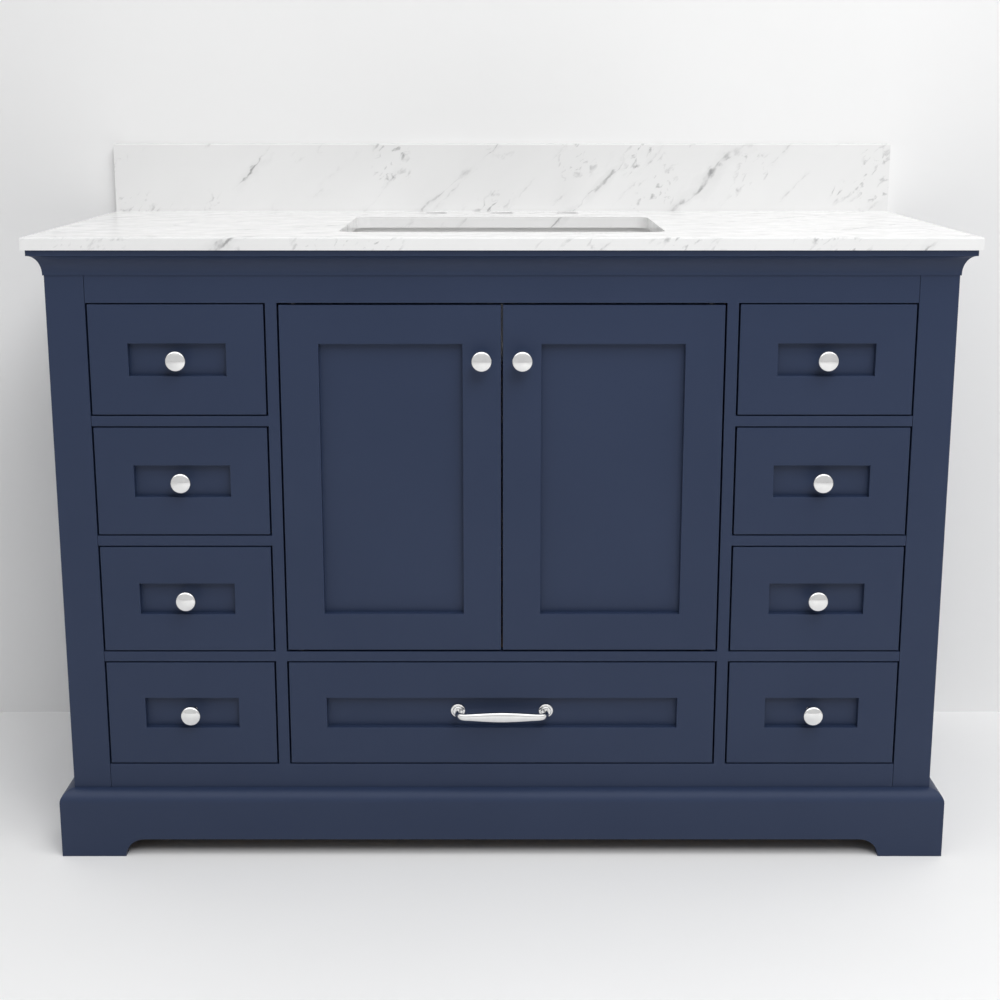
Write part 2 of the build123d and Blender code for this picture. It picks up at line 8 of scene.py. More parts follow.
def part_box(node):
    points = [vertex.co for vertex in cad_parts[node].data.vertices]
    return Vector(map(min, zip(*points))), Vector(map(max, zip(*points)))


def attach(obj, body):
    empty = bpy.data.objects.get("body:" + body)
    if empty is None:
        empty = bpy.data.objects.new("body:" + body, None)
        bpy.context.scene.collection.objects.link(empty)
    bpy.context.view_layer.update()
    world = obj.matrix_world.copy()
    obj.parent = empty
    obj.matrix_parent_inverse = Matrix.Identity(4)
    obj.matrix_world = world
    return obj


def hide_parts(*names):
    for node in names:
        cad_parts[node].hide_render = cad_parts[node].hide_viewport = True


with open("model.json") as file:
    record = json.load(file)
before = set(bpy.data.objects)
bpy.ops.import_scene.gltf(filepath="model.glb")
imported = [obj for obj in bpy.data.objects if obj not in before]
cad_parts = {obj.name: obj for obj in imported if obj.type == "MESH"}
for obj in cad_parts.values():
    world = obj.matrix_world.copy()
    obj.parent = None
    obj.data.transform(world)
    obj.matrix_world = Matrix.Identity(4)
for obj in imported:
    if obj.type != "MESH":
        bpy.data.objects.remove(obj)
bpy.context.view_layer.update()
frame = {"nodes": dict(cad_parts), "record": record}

# Bathroom vanity cabinet: painted woodwork, stone top, glazed basin and polished grips, in metres.
mm = 0.001
sides = {"left": -1, "right": 1}
rows = ("bottom", "lower", "upper", "top")
side_drawers = [f"{side}_{row}_drawer" for side in sides for row in rows]
drawers = side_drawers + ["centre_drawer"]
doors = [f"{side}_door" for side in sides]
body_of = {
    node: body for body, nodes in frame["record"]["behaviour"]["bodies"].items() for node in nodes
}

# Sizes of the woodwork
frame_width = 50.3 * mm
frame_rail = 51 * mm
stile_width = 50.5 * mm
panel_recess = 10 * mm
panel_thickness = 6 * mm
panel_round = 0.1 * mm
reveal = 2.3 * mm
drawer_reveal = 1.7 * mm
paint_round = 0.8 * mm
joint_round = 0.5 * mm
joint_gap = 0.35 * mm
leaf_stand = 0.15 * mm

# Moulding sections
crown_projection = 17.2 * mm
crown_lip = 7.6 * mm
crown_cove = 24.5 * mm
crown_step = 1.5 * mm
cove_steps = 20
plinth_thickness = 17.3 * mm
plinth_round = 17 * mm
plinth_round_steps = 10
plinth_foot = 87.5 * mm
arch_height = 24.8 * mm
arch_corner = 26.5 * mm
arch_steps = 14
arch_round_steps = 3

# Turned grips: points of (radius, forward) in millimetres, and arcs through three of them
knob_base = [(0.0, 0.0), (6.4, 0.0), (6.6, 0.3), (6.6, 1.9), (6.3, 2.2)]
knob_stem = ((5.8, 3.0), (5.2, 10.1), (12.4, 18.0))
knob_under = ((12.4, 18.0), (13.3, 19.5), (13.6, 21.6))
knob_rim = ((13.6, 21.6), (12.85, 24.0), (10.6, 25.3))
knob_cap = ((10.6, 25.3), (5.4, 26.57), (0.0, 27.0))
knob_projection = 27 * mm
rosette_base = [(0.0, 0.0), (10.1, 0.0), (10.3, 0.3)]
rosette_lower = ((10.3, 0.9), (9.5, 2.5), (7.7, 3.2))
rosette_step = [(7.3, 3.2), (7.2, 3.4)]
rosette_upper = ((7.2, 3.9), (6.7, 5.0), (5.5, 5.6))
rosette_top = [(5.1, 5.6), (5.0, 5.8), (0.0, 5.8)]
turn_steps = 72

# Sizes of the pull and of the screw heads
pull_spacing = 120 * mm
pull_reach = 26.5 * mm
pull_bend = 11 * mm
pull_end = (7.4 * mm, 9.6 * mm)
pull_middle = (8.6 * mm, 14.2 * mm)
pull_swell = 1.2
post_square = 2.0
elbow_square = 0.5
bar_square = 0.3
section_sides = 32
bar_steps = 24
elbow_steps = 8
screw_head_radius = 4 * mm
screw_head_height = 2.4 * mm
screw_head_sides = 16
screw_head_crown = ((0.14, 0.28), (0.22, 0.16), (0.20, 0.06))
recess_border = 0.03
recess_waist = 0.36

# Sizes of the drawer boxes and of inside edges
box_board = 12 * mm
box_bottom = 6 * mm
box_bottom_lift = 10 * mm
box_bottom_round = 0.2 * mm
tail_count = 3
tail_share = 0.62
tail_flare = 2 * mm
wood_round = 0.5 * mm
steel_round = 0.35 * mm
catch_round = 0.8 * mm

# Lie of the stone's veins
vein_slant = math.radians(46)

# Axes by number, for the run of the grain and the thickness of a board
along_x, along_y, along_z = range(3)

# Limits for merging and shading meshes
weld = 1e-6
flat_angle = math.radians(0.2)
corner_angle = math.radians(28)
shade_angle = math.radians(40)
square_on = 0.9
stand_up = Matrix.Rotation(math.radians(90), 3, "X")

# Places shared by several pieces
stiles_low, stiles_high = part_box("face_frame_stiles")
slab_low, slab_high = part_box("countertop")
body_half = stiles_high.x
face_y = stiles_low.y
body_top = stiles_high.z
wall_y = slab_high.y


# Shader helpers
def add_node(tree, kind, inputs=None, **settings):
    """A shader node with its settings made and its inputs set to values or linked to sockets."""
    node = tree.nodes.new(kind)
    for name, value in settings.items():
        setattr(node, name, value)
    for name, value in (inputs or {}).items():
        if isinstance(value, bpy.types.NodeSocket):
            tree.links.new(value, node.inputs[name])
        else:
            node.inputs[name].default_value = value
    return node


def new_group(name, inputs, outputs):
    """A shader node group with float, vector or colour sockets, and its input and output nodes."""
    group = bpy.data.node_groups.new(name, "ShaderNodeTree")
    for direction, sockets in (("INPUT", inputs), ("OUTPUT", outputs)):
        for socket, kind in sockets.items():
            group.interface.new_socket(socket, in_out=direction, socket_type=f"NodeSocket{kind}")
    return group, group.nodes.new("NodeGroupInput"), group.nodes.new("NodeGroupOutput")


def remap(tree, value, from_low, from_high, to_low, to_high, smooth=False):
    """The output of a map range node, clamped."""
    kind = "SMOOTHSTEP" if smooth else "LINEAR"
    limits = {"From Min": from_low, "From Max": from_high, "To Min": to_low, "To Max": to_high}
    node = add_node(tree, "ShaderNodeMapRange", {"Value": value, **limits}, interpolation_type=kind)
    return node.outputs["Result"]


def math_node(tree, operation, first, second=0.0):
    """The output of a math node."""
    return add_node(tree, "ShaderNodeMath", {0: first, 1: second}, operation=operation).outputs[0]


def mix_colour(tree, factor, first, second):
    """The output of a colour mix, whose colour sockets come after those for numbers and vectors."""
    return add_node(tree, "ShaderNodeMix", {0: factor, 6: first, 7: second}, data_type="RGBA").outputs[2]


def noise(tree, vector, scale, detail, distortion=0.0):
    """The value of a noise texture."""
    inputs = {"Vector": vector, "Scale": scale, "Detail": detail, "Distortion": distortion}
    return add_node(tree, "ShaderNodeTexNoise", inputs).outputs["Fac"]


def make_mottle():
    """Shared effect: cloudy unevenness between two values, at a size given in cycles a metre."""
    group, given, result = new_group(
        "mottle",
        {"Vector": "Vector", "Scale": "Float", "Low": "Float", "High": "Float"},
        {"Value": "Float"},
    )
    cloud = noise(group, given.outputs["Vector"], given.outputs["Scale"], 4.0)
    value = remap(group, cloud, 0.3, 0.7, given.outputs["Low"], given.outputs["High"], smooth=True)
    group.links.new(value, result.inputs["Value"])
    return group


def make_vein():
    """Shared effect: thin broken veins in sheets across Z of the vector, and the stain round them."""
    group, given, result = new_group(
        "vein",
        {"Vector": "Vector", "Scale": "Float", "Width": "Float", "Cover": "Float"},
        {"Line": "Float", "Stain": "Float"},
    )
    vector = given.outputs["Vector"]
    scale = given.outputs["Scale"]
    cover = given.outputs["Cover"]

    def cloud(size, detail):
        return noise(group, vector, math_node(group, "MULTIPLY", scale, size), detail)

    across = add_node(group, "ShaderNodeSeparateXYZ", {0: vector}).outputs["Z"]
    for size, detail, reach in ((0.9, 1.0, 0.5), (6.0, 5.0, 0.16), (22.0, 3.0, 0.05)):
        waver = math_node(group, "SUBTRACT", cloud(size, detail), 0.5)
        waver = math_node(group, "MULTIPLY", waver, math_node(group, "DIVIDE", reach, scale))
        across = math_node(group, "ADD", across, waver)
    sheets = add_node(
        group, "ShaderNodeTexVoronoi", {"W": across, "Scale": scale},
        voronoi_dimensions="1D", feature="DISTANCE_TO_EDGE",
    )
    off_line = math_node(group, "DIVIDE", sheets.outputs["Distance"], scale)
    knots = remap(group, cloud(8.0, 3.0), 0.36, 0.66, 0.15, 1.9)
    beads = remap(group, cloud(16.0, 4.0), 0.40, 0.60, 0.18, 1.0)
    width = math_node(group, "MULTIPLY", given.outputs["Width"], knots)
    line = remap(group, off_line, 0.0, width, 1.0, 0.0, smooth=True)
    line = math_node(group, "MULTIPLY", line, beads)
    halo_width = math_node(group, "MULTIPLY", width, 5.0)
    halo = remap(group, off_line, 0.0, halo_width, 1.0, 0.0, smooth=True)
    full_cover = math_node(group, "ADD", cover, 0.12)
    shown = remap(group, cloud(1.7, 5.0), cover, full_cover, 0.0, 1.0, smooth=True)
    group.links.new(math_node(group, "MULTIPLY", line, shown), result.inputs["Line"])
    group.links.new(math_node(group, "MULTIPLY", halo, shown), result.inputs["Stain"])
    return group


def make_grain():
    """Shared effect: wood figure along U of the piece's grain map, with fine pores."""
    group, given, result = new_group(
        "grain", {"Vector": "Vector"}, {"Figure": "Float", "Pores": "Float"},
    )

    def streaks(stretch, detail, distortion):
        inputs = {"Vector": given.outputs["Vector"], "Scale": stretch}
        layout = add_node(group, "ShaderNodeMapping", inputs).outputs["Vector"]
        return noise(group, layout, 1.0, detail, distortion)

    figure = streaks((1.6, 26.0, 1.0), 6.0, 0.6)
    pores = streaks((45.0, 1300.0, 1.0), 2.0, 0.0)
    group.links.new(figure, result.inputs["Figure"])
    group.links.new(remap(group, pores, 0.52, 0.75, 0.0, 1.0), result.inputs["Pores"])
    return group


mottle_group = make_mottle()
vein_group = make_vein()
grain_group = make_grain()


def new_material(name):
    """A material with its tree, its Principled shader and object coordinates."""
    material = bpy.data.materials.new(name)
    material.use_nodes = True
    tree = material.node_tree
    coords = tree.nodes.new("ShaderNodeTexCoord")
    return material, tree, tree.nodes["Principled BSDF"], coords.outputs["Object"]


def mottle(tree, vector, scale, low, high):
    """The value of the mottle effect."""
    inputs = {"Vector": vector, "Scale": scale, "Low": low, "High": high}
    return add_node(tree, "ShaderNodeGroup", inputs, node_tree=mottle_group).outputs["Value"]


def two_tone(tree, vector, scale, first, second):
    """Two close colours in soft clouds."""
    return mix_colour(tree, mottle(tree, vector, scale, 0.0, 1.0), first, second)


def set_surface(tree, shader, colour, roughness):
    """Feed a colour and a roughness to the shader."""
    tree.links.new(colour, shader.inputs["Base Color"])
    tree.links.new(roughness, shader.inputs["Roughness"])


def add_bump(tree, shader, height, strength, distance):
    """Feed a height to the shader's normal."""
    inputs = {"Height": height, "Strength": strength, "Distance": distance}
    bump = add_node(tree, "ShaderNodeBump", inputs)
    tree.links.new(bump.outputs["Normal"], shader.inputs["Normal"])


# Finishes
def navy_paint():
    """Sprayed satin paint: an even dark blue with a faint orange-peel surface."""
    material, tree, shader, coords = new_material("navy_paint")
    colour = two_tone(tree, coords, 5.0, (0.0200, 0.0325, 0.0720, 1.0), (0.0220, 0.0350, 0.0760, 1.0))
    set_surface(tree, shader, colour, mottle(tree, coords, 60.0, 0.45, 0.48))
    shader.inputs["Specular IOR Level"].default_value = 0.3
    add_bump(tree, shader, noise(tree, coords, 380.0, 2.0), 0.02, 0.4 * mm)
    return material


def veined_stone():
    """Polished white marble with thin, broken, slanted grey veins and clusters of smudges."""
    material, tree, shader, coords = new_material("veined_stone")
    run = Vector((math.cos(vein_slant), 0, math.sin(vein_slant)))
    through = Vector((-math.sin(vein_slant), 0.8, math.cos(vein_slant))).normalized()
    turn = Matrix((run, through.cross(run), through)).transposed().to_euler()
    sheets = add_node(
        tree, "ShaderNodeMapping", {"Vector": coords, "Rotation": turn, "Scale": (2.4, 2.4, 1.0)},
        vector_type="TEXTURE",
    ).outputs["Vector"]
    colour = two_tone(tree, sheets, 9.0, (0.84, 0.84, 0.838, 1.0), (0.87, 0.87, 0.868, 1.0))
    for scale, width, cover, line_strength, stain_strength in (
        (7.0, 2.3 * mm, 0.45, 0.78, 0.13),
        (19.0, 1.4 * mm, 0.52, 0.32, 0.07),
    ):
        inputs = {"Vector": sheets, "Scale": scale, "Width": width, "Cover": cover}
        vein = add_node(tree, "ShaderNodeGroup", inputs, node_tree=vein_group)
        stain = math_node(tree, "MULTIPLY", vein.outputs["Stain"], stain_strength)
        line = math_node(tree, "MULTIPLY", vein.outputs["Line"], line_strength)
        colour = mix_colour(tree, stain, colour, (0.45, 0.45, 0.455, 1.0))
        colour = mix_colour(tree, line, colour, (0.22, 0.22, 0.225, 1.0))
    clusters = remap(tree, noise(tree, coords, 13.0, 2.0), 0.53, 0.68, 0.0, 0.8)
    smudges = remap(tree, noise(tree, sheets, 150.0, 5.0, 0.6), 0.56, 0.72, 0.0, 1.0)
    smudges = math_node(tree, "MULTIPLY", clusters, smudges)
    colour = mix_colour(tree, smudges, colour, (0.28, 0.28, 0.285, 1.0))
    set_surface(tree, shader, colour, mottle(tree, coords, 30.0, 0.16, 0.24))
    shader.inputs["Specular IOR Level"].default_value = 0.5
    return material


def glazed_ceramic():
    """White glaze with a faint ripple."""
    material, tree, shader, coords = new_material("glazed_ceramic")
    colour = two_tone(tree, coords, 8.0, (0.76, 0.76, 0.755, 1.0), (0.80, 0.80, 0.798, 1.0))
    set_surface(tree, shader, colour, mottle(tree, coords, 25.0, 0.08, 0.13))
    add_bump(tree, shader, noise(tree, coords, 45.0, 1.0), 0.05, 0.5 * mm)
    return material


def polished_metal():
    """Polished nickel with faint buffing marks."""
    material, tree, shader, coords = new_material("polished_metal")
    colour = two_tone(tree, coords, 120.0, (0.75, 0.75, 0.75, 1.0), (0.80, 0.80, 0.795, 1.0))
    set_surface(tree, shader, colour, mottle(tree, coords, 250.0, 0.06, 0.10))
    shader.inputs["Metallic"].default_value = 1.0
    return material


def plated_steel(name, pale, dark):
    """Plated steel with a fine crystal pattern."""
    material, tree, shader, coords = new_material(name)
    crystal = add_node(tree, "ShaderNodeTexVoronoi", {"Vector": coords, "Scale": 260.0})
    tone = remap(tree, crystal.outputs["Distance"], 0.0, 0.8, 0.0, 1.0)
    colour = mix_colour(tree, tone, pale, dark)
    set_surface(tree, shader, colour, mottle(tree, coords, 180.0, 0.30, 0.42))
    shader.inputs["Metallic"].default_value = 1.0
    return material


def moulded_plastic():
    """Grey moulded plastic with a fine spark-eroded texture."""
    material, tree, shader, coords = new_material("moulded_plastic")
    speck = noise(tree, coords, 900.0, 3.0)
    colour = mix_colour(tree, speck, (0.50, 0.50, 0.50, 1.0), (0.58, 0.58, 0.575, 1.0))
    set_surface(tree, shader, colour, mottle(tree, coords, 200.0, 0.45, 0.58))
    add_bump(tree, shader, speck, 0.15, 0.1 * mm)
    return material


def wood_face(name, dark, pale, pore):
    """Planed wood: figure and pores along U of the piece's grain map."""
    material, tree, shader, coords = new_material(name)
    layout = add_node(tree, "ShaderNodeUVMap", uv_map="grain").outputs["UV"]
    grain = add_node(tree, "ShaderNodeGroup", {"Vector": layout}, node_tree=grain_group)
    figure = remap(tree, grain.outputs["Figure"], 0.3, 0.7, 0.0, 1.0)
    colour = mix_colour(tree, figure, dark, pale)
    colour = mix_colour(tree, math_node(tree, "MULTIPLY", grain.outputs["Pores"], 0.35), colour, pore)
    set_surface(tree, shader, colour, mottle(tree, coords, 40.0, 0.42, 0.55))
    add_bump(tree, shader, grain.outputs["Pores"], 0.12, -0.1 * mm)
    return material


def wood_end(name, dark, pale, period):
    """Cut edge: layers or rings across V of the piece's grain map, repeating at a period."""
    material, tree, shader, coords = new_material(name)
    layout = add_node(tree, "ShaderNodeUVMap", uv_map="grain").outputs["UV"]
    across = add_node(tree, "ShaderNodeSeparateXYZ", {0: layout}).outputs["Y"]
    waver = mottle(tree, coords, 30.0, -0.12, 0.12)
    turns = math_node(tree, "ADD", math_node(tree, "DIVIDE", across, period), waver)
    wave = math_node(tree, "SINE", math_node(tree, "MULTIPLY", turns, 2 * math.pi))
    layer = remap(tree, wave, -0.35, 0.35, 0.0, 1.0, smooth=True)
    fleck = noise(tree, coords, 700.0, 3.0)
    tone = math_node(tree, "MULTIPLY", layer, remap(tree, fleck, 0.3, 0.7, 0.75, 1.0))
    colour = mix_colour(tree, tone, dark, pale)
    set_surface(tree, shader, colour, mottle(tree, coords, 60.0, 0.55, 0.70))
    add_bump(tree, shader, fleck, 0.2, 0.1 * mm)
    return material


navy = navy_paint()
stone = veined_stone()
ceramic = glazed_ceramic()
nickel = polished_metal()
zinc = plated_steel("zinc_steel", (0.56, 0.57, 0.58, 1.0), (0.47, 0.48, 0.50, 1.0))
dark_steel = plated_steel("blackened_steel", (0.035, 0.035, 0.038, 1.0), (0.022, 0.022, 0.024, 1.0))
plastic = moulded_plastic()
birch = wood_face(
    "birch_face", (0.50, 0.33, 0.17, 1.0), (0.66, 0.48, 0.28, 1.0), (0.33, 0.20, 0.09, 1.0),
)
birch_end = wood_end("birch_end", (0.36, 0.22, 0.10, 1.0), (0.52, 0.35, 0.19, 1.0), 3.2 * mm)
veneer = wood_face(
    "ply_face", (0.46, 0.31, 0.17, 1.0), (0.60, 0.44, 0.27, 1.0), (0.30, 0.19, 0.09, 1.0),
)
ply_edge = wood_end("ply_edge", (0.24, 0.14, 0.07, 1.0), (0.58, 0.42, 0.25, 1.0), 2.6 * mm)


# Mesh helpers
def fit(bm, verts, low, high):
    """Stretch and move vertices so that their box fills the one between two corners."""
    now_low = Vector([min(vert.co[axis] for vert in verts) for axis in range(3)])
    now_high = Vector([max(vert.co[axis] for vert in verts) for axis in range(3)])
    scale = []
    for axis in range(3):
        now = now_high[axis] - now_low[axis]
        scale.append((high[axis] - low[axis]) / now if now > weld else 1.0)
    bmesh.ops.translate(bm, vec=-(now_low + now_high) / 2, verts=verts)
    bmesh.ops.scale(bm, vec=scale, verts=verts)
    bmesh.ops.translate(bm, vec=(Vector(low) + Vector(high)) / 2, verts=verts)


def soften(bm, edges, width):
    """Round the convex corners among some edges."""
    sharp = [
        edge for edge in edges
        if edge.is_manifold and edge.is_convex and edge.calc_face_angle() > corner_angle
    ]
    bmesh.ops.bevel(
        bm, geom=sharp, offset=width, offset_type="OFFSET", segments=2, profile=0.5,
        affect="EDGES", material=-1, clamp_overlap=True,
    )


def links_of(verts):
    """The edges and faces that join some vertices."""
    edges = {edge for vert in verts for edge in vert.link_edges}
    faces = {face for vert in verts for face in vert.link_faces}
    return list(edges), list(faces)


def everything_in(bm):
    """All vertices, edges and faces of a mesh."""
    return bm.verts[:] + bm.edges[:] + bm.faces[:]


def fill_holes(bm, edges):
    """Close the openings among some edges."""
    bmesh.ops.holes_fill(bm, edges=[edge for edge in edges if edge.is_boundary])


def merge_flat(bm):
    """Make each flat area one face."""
    bmesh.ops.dissolve_limit(bm, angle_limit=flat_angle, verts=bm.verts, edges=bm.edges)


def add_box(bm, low, high, width=0.0):
    """A box between two corners, with rounded edges if they are given a width."""
    verts = bmesh.ops.create_cube(bm, size=1.0)["verts"]
    fit(bm, verts, low, high)
    if width:
        soften(bm, links_of(verts)[0], width)
    return verts


def extrude_faces(bm, faces, offset):
    """Give some flat faces a thickness, as a closed shell."""
    made = bmesh.ops.extrude_face_region(bm, geom=faces)
    verts = [item for item in made["geom"] if isinstance(item, bmesh.types.BMVert)]
    bmesh.ops.translate(bm, vec=offset, verts=verts)
    bmesh.ops.recalc_face_normals(bm, faces=bm.faces)


def add_sheet(bm, low, high):
    """A flat sheet between two corners, upright if both have the same Y."""
    verts = bmesh.ops.create_grid(bm, x_segments=1, y_segments=1, size=1.0)["verts"]
    if abs(high[1] - low[1]) < weld:
        bmesh.ops.rotate(bm, cent=(0, 0, 0), matrix=stand_up, verts=verts)
    fit(bm, verts, low, high)


def pierced_plate(bm, low, high, holes):
    """An upright plate that faces the front, with holes (x0, x1, z0, z1) right through it."""
    add_sheet(bm, low, Vector((high.x, low.y, high.z)))
    for x0, x1, z0, z1 in holes:
        cuts = [((x, 0, 0), (1, 0, 0)) for x in (x0, x1)] + [((0, 0, z), (0, 0, 1)) for z in (z0, z1)]
        for place, normal in cuts:
            bmesh.ops.bisect_plane(
                bm, geom=everything_in(bm), dist=weld, plane_co=place, plane_no=normal,
            )
    cut = []
    for face in bm.faces:
        centre = face.calc_center_median()
        if any(x0 < centre.x < x1 and z0 < centre.z < z1 for x0, x1, z0, z1 in holes):
            cut.append(face)
    bmesh.ops.delete(bm, geom=cut, context="FACES")
    merge_flat(bm)
    extrude_faces(bm, bm.faces[:], (0, high.y - low.y, 0))


def make_piece(name, bm, materials, body, nodes):
    """An object from a mesh, with soft shading, riding on a body and standing for some nodes."""
    bm.normal_update()
    for face in bm.faces:
        face.smooth = True
    for edge in bm.edges:
        edge.smooth = not (edge.is_manifold and edge.calc_face_angle() > shade_angle)
    mesh = bpy.data.meshes.new(name)
    bm.to_mesh(mesh)
    bm.free()
    if "custom_normal" in mesh.attributes:
        mesh.attributes.remove(mesh.attributes["custom_normal"])
    for material in materials:
        mesh.materials.append(material)
    piece = bpy.data.objects.new(name, mesh)
    bpy.context.scene.collection.objects.link(piece)
    even = piece.modifiers.new("even_shading", "WEIGHTED_NORMAL")
    even.keep_sharp = True
    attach(piece, body)
    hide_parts(*nodes)


def merged_copy(node):
    """A mesh with the node's faces joined up and its flat faces whole."""
    bm = bmesh.new()
    bm.from_mesh(frame["nodes"][node].data)
    bmesh.ops.remove_doubles(bm, verts=bm.verts, dist=weld)
    merge_flat(bm)
    return bm


def dress_copy(node, material, width=0.0):
    """A merged copy of a node with its edges rounded if they are given a width, in place of the node."""
    bm = merged_copy(node)
    if width:
        soften(bm, bm.edges[:], width)
    make_piece(f"{node}_dressed", bm, [material], body_of[node], [node])


# Painted woodwork
def opening_round(nodes, above):
    """The opening (x0, x1, z0, z1) round some fronts, given the gap above and below them."""
    boxes = [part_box(node) for node in nodes]
    return (
        min(low.x for low, high in boxes) - reveal,
        max(high.x for low, high in boxes) + reveal,
        min(low.z for low, high in boxes) - above,
        max(high.z for low, high in boxes) + above,
    )


def make_face_frame():
    """Rails and mullions in one lattice, between two outer stiles."""
    holes = [opening_round([f"{drawer}_front"], drawer_reveal) for drawer in drawers]
    bottom, top = opening_round([f"{door}_front" for door in doors], reveal)[2:]
    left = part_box("centre_drawer_front")[0].x - reveal
    holes.append((left, -left, bottom - leaf_stand, top + leaf_stand))
    bm = bmesh.new()
    bay = body_half - stile_width
    reach = bay - joint_gap
    lattice_low = Vector((-reach, face_y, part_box("face_frame_rails")[0].z))
    pierced_plate(bm, lattice_low, Vector((reach, stiles_high.y, body_top)), holes)
    soften(bm, bm.edges[:], joint_round)
    for side in sides.values():
        inner, outer = sorted((side * bay, side * body_half))
        add_box(bm, Vector((inner, face_y, 0)), Vector((outer, stiles_high.y, body_top)), joint_round)
    nodes = ["face_frame_stiles", "face_frame_rails"]
    make_piece("face_frame", bm, [navy], "carcass", nodes)


def make_shaker_front(owner):
    """A frame with softened edges round a recessed panel."""
    node = f"{owner}_front"
    low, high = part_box(node)
    trim = Vector((0, 0, leaf_stand)) if owner in doors else Vector()
    x0, x1 = low.x + frame_width, high.x - frame_width
    z0, z1 = low.z + frame_rail, high.z - frame_rail
    bm = bmesh.new()
    pierced_plate(bm, low + trim, high - trim, [(x0, x1, z0, z1)])
    soften(bm, bm.edges[:], paint_round)
    panel_y = low.y + panel_recess
    add_box(bm, Vector((x0, panel_y, z0)), Vector((x1, panel_y + panel_thickness, z1)), panel_round)
    make_piece(f"{owner}_face", bm, [navy], body_of[node], [node])


def sweep_round_body(bm, section, base_z):
    """Sweep a closed section of (outwards, upwards) points round the sides and front of the body."""
    stations = ((-1, wall_y, 0), (-1, face_y, 1), (1, face_y, 1), (1, wall_y, 0))

    def place(station, point):
        side, y, corner = station
        return Vector((side * (body_half + point[0]), y - corner * point[0], base_z + point[1]))

    face = bm.faces.new([bm.verts.new(place(stations[0], point)) for point in section])
    for station in stations[1:]:
        face = bmesh.ops.extrude_discrete_faces(bm, faces=[face])["faces"][0]
        for vert, point in zip(face.verts, section):
            vert.co = place(station, point)
    fill_holes(bm, bm.edges)
    bmesh.ops.recalc_face_normals(bm, faces=bm.faces)


def make_crown():
    """Cove moulding under the top, mitred at the front corners."""
    cove_bottom = -crown_lip - crown_cove
    section = [(0.0, cove_bottom - crown_step), (0.0, 0.0)]
    section += [(crown_projection, 0.0), (crown_projection, -crown_lip)]
    for step in range(1, cove_steps + 1):
        turn = math.radians(90 + 90 * step / cove_steps)
        section.append((
            crown_projection + (crown_projection - crown_step) * math.cos(turn),
            cove_bottom + crown_cove * math.sin(turn),
        ))
    section.append((crown_step, cove_bottom - crown_step))
    bm = bmesh.new()
    sweep_round_body(bm, section, body_top)
    make_piece("crown", bm, [navy], "carcass", ["crown_moulding"])


def mitre_cut(bm, side, keep_front):
    """Cut a moulding at the upright plane through a front corner of the body."""
    bmesh.ops.bisect_plane(
        bm, geom=everything_in(bm), dist=weld,
        plane_co=(side * body_half, face_y, 0), plane_no=(side, 1, 0),
        clear_outer=keep_front, clear_inner=not keep_front,
    )
    fill_holes(bm, bm.edges)


def round_edge(bm, on_edge, width, steps):
    """Round over some outer edges of a plinth board, found by a test on their two ends."""
    long_edges = [edge for edge in bm.edges if all(on_edge(vert.co) for vert in edge.verts)]
    bmesh.ops.bevel(
        bm, geom=long_edges, offset=width, offset_type="OFFSET", segments=steps, profile=0.5,
        affect="EDGES", material=-1,
    )


def move_into(whole, bm):
    """Move a board's mesh into the mesh of the whole piece."""
    mesh = bpy.data.meshes.new("board")
    bm.to_mesh(mesh)
    whole.from_mesh(mesh)
    bm.free()
    bpy.data.meshes.remove(mesh)


def make_plinth():
    """Base boards with a rounded top, an arch in the front one and mitred corners."""
    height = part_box("plinth")[1].z
    outer_x = body_half + plinth_thickness
    outer_y = face_y - plinth_thickness
    arch_x = outer_x - plinth_foot
    whole = bmesh.new()

    def on_top(co):
        return abs(co.z - height) < weld

    def on_front(co):
        return abs(co.y - outer_y) < weld

    bm = bmesh.new()
    arch = []
    for step in range(arch_steps + 1):
        turn = math.radians(90 * step / arch_steps)
        arch.append((arch_x - arch_corner * (1 - math.cos(turn)), arch_height * math.sin(turn)))
    outline = [(outer_x, 0), (outer_x, height), (-outer_x, height), (-outer_x, 0)]
    outline += [(-x, z) for x, z in arch] + arch[::-1]
    bm.faces.new([bm.verts.new((x, outer_y, z)) for x, z in outline])
    extrude_faces(bm, bm.faces[:], (0, plinth_thickness, 0))
    round_edge(bm, lambda co: on_front(co) and on_top(co), plinth_round, plinth_round_steps)
    round_edge(
        bm, lambda co: on_front(co) and co.z < arch_height + weld, paint_round, arch_round_steps,
    )
    for side in sides.values():
        mitre_cut(bm, side, True)
    move_into(whole, bm)

    for side in sides.values():
        bm = bmesh.new()
        outer = side * outer_x
        low_x, high_x = sorted((side * body_half, outer))
        add_box(bm, Vector((low_x, outer_y, 0)), Vector((high_x, wall_y, height)))
        round_edge(
            bm, lambda co: abs(co.x - outer) < weld and on_top(co), plinth_round, plinth_round_steps,
        )
        mitre_cut(bm, side, False)
        move_into(whole, bm)
    bmesh.ops.recalc_face_normals(whole, faces=whole.faces)
    make_piece("plinth_boards", whole, [navy], "carcass", ["plinth"])


make_face_frame()
for owner in drawers + doors:
    make_shaker_front(owner)
make_crown()
make_plinth()


# Grips
def turn_profile(bm, profile, centre):
    """Spin a profile of (radius, forward) points in millimetres about an axis along Y."""
    verts = [
        bm.verts.new((centre.x + radius * mm, centre.y - forward * mm, centre.z))
        for radius, forward in profile
    ]
    edges = [bm.edges.new(pair) for pair in zip(verts, verts[1:])]
    bmesh.ops.spin(
        bm, geom=verts + edges, cent=centre, axis=(0, 1, 0), dvec=(0, 0, 0),
        angle=2 * math.pi, steps=turn_steps, use_merge=True,
    )
    bmesh.ops.remove_doubles(bm, verts=bm.verts, dist=weld)


